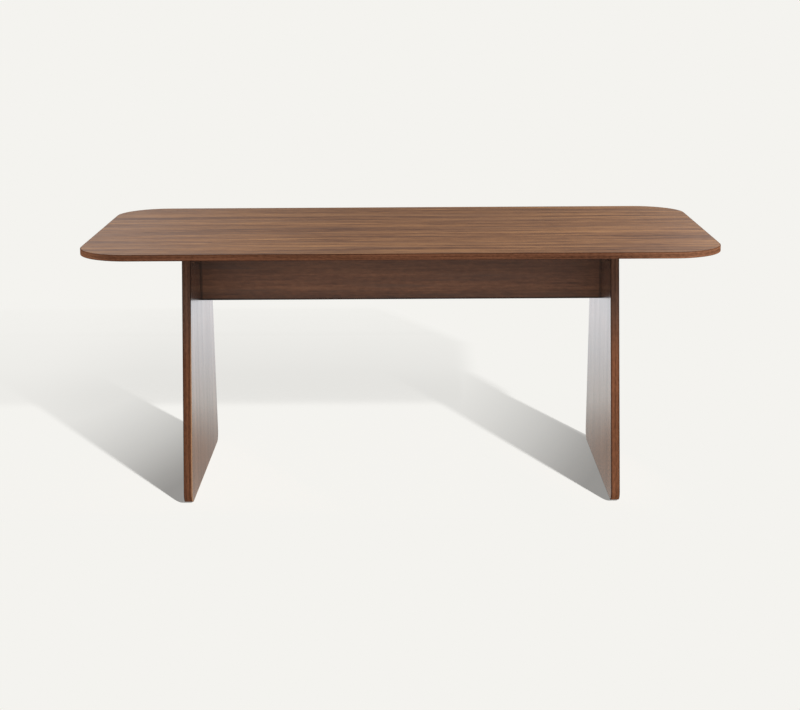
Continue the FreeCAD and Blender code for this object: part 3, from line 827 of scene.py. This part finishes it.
def dress_boards():
    """Veneer on the top, the rail and the legs. The rail and the legs take the darker walnut as painted
    shade, with more painted shade on the legs' inner faces beside the rail."""
    dress("top_board", walnut_face("walnut_top", "XYZ", (3.1, 0.4, 0), WALNUT, gloss=0.02, roughness=0.32,
                                   contrast=1.1, mottle=0.8))
    low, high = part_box("rail_board")
    dress("rail_board", walnut_face("walnut_rail", "XZY", (9.7, 0.2, 0.3), SHADED_WALNUT, gloss=0.3,
                                    roughness=0.45, shades=rail_painted_shade(low, high), contrast=0.45,
                                    mottle=0.8, scale=1.7))
    for side, offset, inside in (("left", (5.2, 1.3, 0.1), low.x), ("right", (6.9, 2.6, 0.5), high.x)):
        # Painted shade on each leg's inner face beside the rail
        shade_beside_rail = (0.7, ("Z", low.z - 0.06, low.z + 0.02), ("X", inside * 1.01, inside))
        face = walnut_face(f"walnut_{side}_leg", "ZYX", offset, SHADED_WALNUT, gloss=0.5, roughness=0.22,
                           shades=(shade_beside_rail,), lacquer=True, contrast=2.0)
        dress(f"{side}_leg_board", face)


# Fittings

def ring(shape, level, reaches):
    """Points round the Z axis at one level, by their reach from it, or one point on it."""
    if not any(reaches):
        return [shape.verts.new((0, 0, level))]
    step = math.tau / len(reaches)
    return [shape.verts.new((reach * math.cos(step * i), reach * math.sin(step * i), level))
            for i, reach in enumerate(reaches)]


def join_rings(shape, rings):
    """Faces from each ring to the next, where a ring of one point closes an end."""
    steps = max(len(points) for points in rings)
    for lower, upper in zip(rings, rings[1:]):
        for i in range(steps):
            j = (i + 1) % steps
            corners = [lower[i % len(lower)], lower[j % len(lower)],
                       upper[j % len(upper)], upper[i % len(upper)]]
            shape.faces.new(list(dict.fromkeys(corners)))


def lathe(shape, profile, steps):
    """Add a solid turned from (radius, height) points, first and last on the axis."""
    join_rings(shape, [ring(shape, height, [radius] * steps) for radius, height in profile])


def build_thread():
    """A sharp ridge wound round a core, fading out at both ends."""
    net, given, gives = new_group(
        "screw_thread", "GeometryNodeTree",
        {"Core": (GEOMETRY, None), "Core Radius": (NUMBER, 0.002), "Length": (NUMBER, 0.01),
         "Pitch": (NUMBER, 0.0012), "Ridge": (NUMBER, 0.0005), "Start": (NUMBER, 0.0),
         "Finish": (MATERIAL, None)},
        {"Thread": GEOMETRY})
    turns = net.math("DIVIDE", given["Length"], given["Pitch"])
    spiral = net.add("GeometryNodeCurveSpiral",
                     {"Resolution": 20, "Rotations": turns, "Start Radius": given["Core Radius"],
                      "End Radius": given["Core Radius"], "Height": given["Length"]})
    upright = net.add("GeometryNodeSetCurveNormal", {"Curve": spiral.outputs[0]}, mode="Z_UP")
    way = net.add("GeometryNodeSplineParameter").outputs["Factor"]
    fade = net.math("MINIMUM", net.step(way, 0.0, 0.08), net.step(way, 1.0, 0.85))
    faded = net.add("GeometryNodeSetCurveRadius",
                    {"Curve": upright.outputs[0], "Radius": net.math("MAXIMUM", fade, 0.05)})
    ridge = net.add("GeometryNodeCurvePrimitiveCircle",
                    {"Resolution": 4, "Radius": given["Ridge"]}, mode="RADIUS")
    wound = net.add("GeometryNodeCurveToMesh",
                    {"Curve": faded.outputs[0], "Profile Curve": ridge.outputs[0], "Fill Caps": True})
    lowered = net.add("GeometryNodeTransform",
                      {"Geometry": wound.outputs[0], "Translation": net.point(0.0, 0.0, given["Start"])})
    joined = net.add("GeometryNodeJoinGeometry")
    net.tree.links.new(given["Core"], joined.inputs[0])
    net.tree.links.new(lowered.outputs[0], joined.inputs[0])
    net.feed(gives["Thread"], real_pieces(net, joined.outputs[0], given["Finish"]))
    return net.tree


def on_seats(net, seats, piece, finish):
    """Copies of a piece on the seats, each turned so that its +Z follows the seat."""
    facing = net.add("GeometryNodeInputNamedAttribute", {"Name": "facing"}, data_type="FLOAT_VECTOR")
    turn = net.add("FunctionNodeAlignRotationToVector", {"Vector": facing.outputs[0]}, axis="Z")
    copies = net.add("GeometryNodeInstanceOnPoints",
                     {"Points": seats, "Instance": piece, "Rotation": turn.outputs[0]})
    return real_pieces(net, copies.outputs[0], finish)


def build_seating():
    """Copy one template onto seats."""
    net, given, gives = new_group(
        "seating", "GeometryNodeTree",
        {"Seats": (GEOMETRY, None), "Template": (OBJECT, None), "Finish": (MATERIAL, None)},
        {"Pieces": GEOMETRY})
    template = net.add("GeometryNodeObjectInfo", {"Object": given["Template"]},
                       transform_space="ORIGINAL")
    pieces = on_seats(net, given["Seats"], template.outputs["Geometry"], given["Finish"])
    net.feed(gives["Pieces"], pieces)
    return net.tree


thread = build_thread()
seating = build_seating()


def seat_points(seats):
    """Points for pairs of a place and the direction that the piece there looks in."""
    mesh = bpy.data.meshes.new("seats")
    mesh.from_pydata([seat[0] for seat in seats], [], [])
    facing = mesh.attributes.new("facing", "FLOAT_VECTOR", "POINT")
    for point, seat in zip(facing.data, seats):
        point.vector = seat[1]
    return new_object("seats", mesh)


def seat_copies(name, template, seats, finish, slot, *replaced):
    """Copies of a template in place of CAD nodes; the template itself goes."""
    piece = grown(name, seat_points(seats), seating, {"Template": template, "Finish": finish})
    hand_over(piece, slot, *replaced)
    bpy.data.objects.remove(template)


def threaded(name, profile, core_radius, start, length, pitch, ridge, finish, extra=None):
    """A turned blank with a thread wound on it, seated at the origin."""
    shape = bmesh.new()
    lathe(shape, profile, 32)
    if extra:
        extra(shape)
    return grown(name, new_object(name, mesh_of(name, shape)), thread,
                 {"Core Radius": core_radius, "Start": start, "Length": length, "Pitch": pitch,
                  "Ridge": ridge, "Finish": finish})


def bracket_seats():
    """Screw places of every bracket: slots under the top, round holes on the leg."""
    under_top, on_leg = [], []
    for name in BRACKETS:
        low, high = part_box(name)
        inward = 1 if low.x < 0 else -1
        face = low.x if inward > 0 else high.x
        middle = (low.y + high.y) / 2
        under_top.append(((face + inward * BRACKET_HOLE_INSET, middle, high.z - BRACKET_GAUGE),
                          (0, 0, -1)))
        for step in (-0.5, 0.5):
            on_leg.append(((face + inward * BRACKET_GAUGE, middle + step * BRACKET_HOLE_SPACING,
                            high.z - BRACKET_HOLE_INSET), (inward, 0, 0)))
    return under_top, on_leg


def hexagon_head(shape):
    """A screw's head on +Z: a washer face, six flats, a bevel and a shallow dish."""
    flat, height, washer, bevel, dish = 0.005, 0.004, 0.0006, 0.0005, 0.0003
    rounds = 36
    turns = [math.tau * i / rounds for i in range(rounds)]
    disc = [flat] * rounds
    hexagon = [flat / math.cos((turn + math.pi / 6) % (math.pi / 3) - math.pi / 6) for turn in turns]
    bevelled = [flat * 0.92] * rounds
    outlines = ((disc, 0.0), (disc, washer), (hexagon, washer), (hexagon, height - bevel),
                (bevelled, height), ([0] * rounds, height - dish))
    rings = [ring(shape, level, reaches) for reaches, level in outlines]
    shape.faces.new(list(reversed(rings[0])))
    join_rings(shape, rings)


def wood_screw(finish):
    """A hexagon-head wood screw with a pressed washer face and a coarse thread."""
    length, radius, point = 0.016, 0.003, 0.0045
    core, shank, runout = 0.0021, 0.0032, 0.004
    profile = [(0, -length), (core * 0.55, point * 0.45 - length), (core, point - length),
               (core, -runout), (radius, -shank), (radius, 0), (0, 0)]
    return threaded("wood_screw", profile, core, start=point * 0.6 - length, length=0.0105,
                    pitch=0.0016, ridge=0.00075, finish=finish, extra=hexagon_head)


def fit_screws(steel):
    under_top, on_leg = bracket_seats()
    seat_copies("screws_in_top", wood_screw(steel), under_top, steel, "screw_steel", "top_screws")
    seat_copies("screws_in_legs", wood_screw(steel), on_leg, steel, "screw_steel", "leg_screws")


def softened(name, node, width, slot, material):
    """A CAD node's own mesh with its sharp edges broken."""
    mesh = nodes[node].data.copy()
    shape = bmesh.new()
    shape.from_mesh(mesh)
    bmesh.ops.remove_doubles(shape, verts=shape.verts, dist=MERGE_DISTANCE)
    bmesh.ops.dissolve_limit(shape, angle_limit=math.radians(1), verts=shape.verts, edges=shape.edges)
    shape.to_mesh(mesh)
    shape.free()
    mesh.materials.clear()
    mesh.materials.append(material)
    piece = new_object(name, mesh)
    bevel = piece.modifiers.new("broken_edges", "BEVEL")
    bevel.width = width
    bevel.segments = 2
    bevel.limit_method = "ANGLE"
    bevel.angle_limit = math.radians(40)
    baked = evaluated_mesh(piece)
    piece.modifiers.clear()
    piece.data = baked
    outward(baked)
    hand_over(piece, slot, node)


def fit_brackets(zinc):
    for corner, node in zip(CORNERS, BRACKETS):
        softened(f"angle_{corner}", node, 0.0003, "bracket_steel", zinc)


def fit_rail_connectors(steel, zinc):
    """Cam bolts with a wood thread in the leg, a collar, a shank and a caught head, and
    the cams that hold them."""
    rail_low, rail_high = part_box("rail_board")
    low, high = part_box("cam_bolts")
    level = (low.z + high.z) / 2
    in_leg = rail_low.x - low.x
    tip, rim, taper = 0.0318, 0.0006, 0.001
    core, waist, collar, shank = 0.0019, 0.0025, 0.0036, 0.003
    neck, neck_start, neck_end = 0.0023, tip - 0.006, tip - 0.0024
    head, head_start = 0.0037, tip - 0.002
    profile = [(0, -in_leg), (core * 0.8, -in_leg), (core, taper - in_leg), (core, -0.0015),
               (waist, -taper), (waist, 0.0), (collar, 0.0), (collar, 0.0008), (shank, 0.0012),
               (shank, neck_start - rim), (neck, neck_start), (neck, neck_end),
               (head, head_start), (head, tip - rim), (head - rim, tip), (0, tip)]
    bolt = threaded("cam_bolt", profile, core, start=taper - in_leg, length=in_leg - 0.0025,
                    pitch=0.0014, ridge=0.0006, finish=steel)
    seats = [((rail_low.x, 0, level), (1, 0, 0)), ((rail_high.x, 0, level), (-1, 0, 0))]
    seat_copies("connector_bolts", bolt, seats, steel, "cam_bolt_steel", "cam_bolts")
    softened("connector_cams", "cam_housings", 0.0002, "cam_zinc", zinc)


def build_dowel():
    """Fluted pegs: a toothed section drawn along an axis, thinner at the ends."""
    net, given, gives = new_group(
        "fluted_dowel", "GeometryNodeTree",
        {"Seats": (GEOMETRY, None), "Diameter": (NUMBER, 0.008), "Length": (NUMBER, 0.035),
         "Steps": (COUNT, 71), "Flutes": (COUNT, 20), "Flute Depth": (NUMBER, 0.0003),
         "Chamfer": (NUMBER, 0.001), "Finish": (MATERIAL, None)},
        {"Dowels": GEOMETRY})
    axis = net.add("GeometryNodeCurvePrimitiveLine", {"End": net.point(0.0, 0.0, given["Length"])})
    cut = net.add("GeometryNodeResampleCurve", {"Curve": axis.outputs[0], "Count": given["Steps"]})
    way = net.times(net.add("GeometryNodeSplineParameter").outputs["Factor"], given["Length"])
    left = net.math("MINIMUM", way, net.math("SUBTRACT", given["Length"], way))
    outer = net.times(given["Diameter"], 0.5)
    end = net.math("SUBTRACT", 1.0, net.math("DIVIDE", given["Chamfer"], outer))
    slim = net.step(left, given["Chamfer"], 0.0, 1.0, end)
    shaped = net.add("GeometryNodeSetCurveRadius", {"Curve": cut.outputs[0], "Radius": slim})
    inner = net.math("SUBTRACT", outer, given["Flute Depth"])
    section = net.add("GeometryNodeCurveStar", {"Points": given["Flutes"], "Outer Radius": outer,
                                                "Inner Radius": inner})
    peg = net.add("GeometryNodeCurveToMesh",
                  {"Curve": shaped.outputs[0], "Profile Curve": section.outputs[0], "Fill Caps": True})
    net.feed(gives["Dowels"], on_seats(net, given["Seats"], peg.outputs[0], given["Finish"]))
    return net.tree


def fit_dowels():
    low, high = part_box("rail_dowels")
    diameter = high.y - low.y
    seats = []
    for level in (low.z + diameter / 2, high.z - diameter / 2):
        seats.append(((low.x, 0, level), (1, 0, 0)))
        seats.append(((high.x, 0, level), (-1, 0, 0)))
    piece = grown("fluted_dowels", seat_points(seats), build_dowel(),
                  {"Diameter": diameter, "Length": DOWEL_LENGTH, "Finish": beech()})
    hand_over(piece, "beech_dowel", "rail_dowels")


def lay_pads():
    """Felt discs with a soft edge, drawn once and seated under the legs."""
    low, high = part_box(PADS[0])
    radius, thick = (high.x - low.x) / 2, high.z - low.z
    soft = 0.0007
    turn = soft * 0.3
    profile = [(0, 0), (radius * 0.5, 0), (radius - soft, 0), (radius - turn, turn), (radius, soft),
               (radius, thick - soft), (radius - turn, thick - turn), (radius - soft, thick),
               (radius * 0.5, thick), (0, thick)]
    shape = bmesh.new()
    lathe(shape, profile, 48)
    disc = new_object("felt_disc", mesh_of("felt_disc", shape))
    seats = []
    for name in PADS:
        low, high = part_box(name)
        seats.append((((low.x + high.x) / 2, (low.y + high.y) / 2, low.z), (0, 0, 1)))
    seat_copies("felt_discs", disc, seats, felt(), "felt_pad", *PADS)


place_camera()
light_the_room()
hang_lamps(lay_floor())
dress_boards()
band_the_top()
band_the_leg("left", LEFT_BAND)
band_the_leg("right", RIGHT_BAND)
band_the_rail()
zinc_sheet = plated_metal("zinc_sheet", srgb(192, 195, 198), srgb(172, 175, 179), 0.004, 0.32)
screw_steel = plated_metal("screw_steel", srgb(188, 190, 190), srgb(150, 152, 150), 0.002, 0.3)
cast_zinc = plated_metal("cast_zinc", srgb(170, 172, 174), srgb(150, 152, 155), 0.0012, 0.45,
                         bump=0.00003)
fit_brackets(zinc_sheet)
fit_screws(screw_steel)
fit_rail_connectors(screw_steel, cast_zinc)
fit_dowels()
lay_pads()
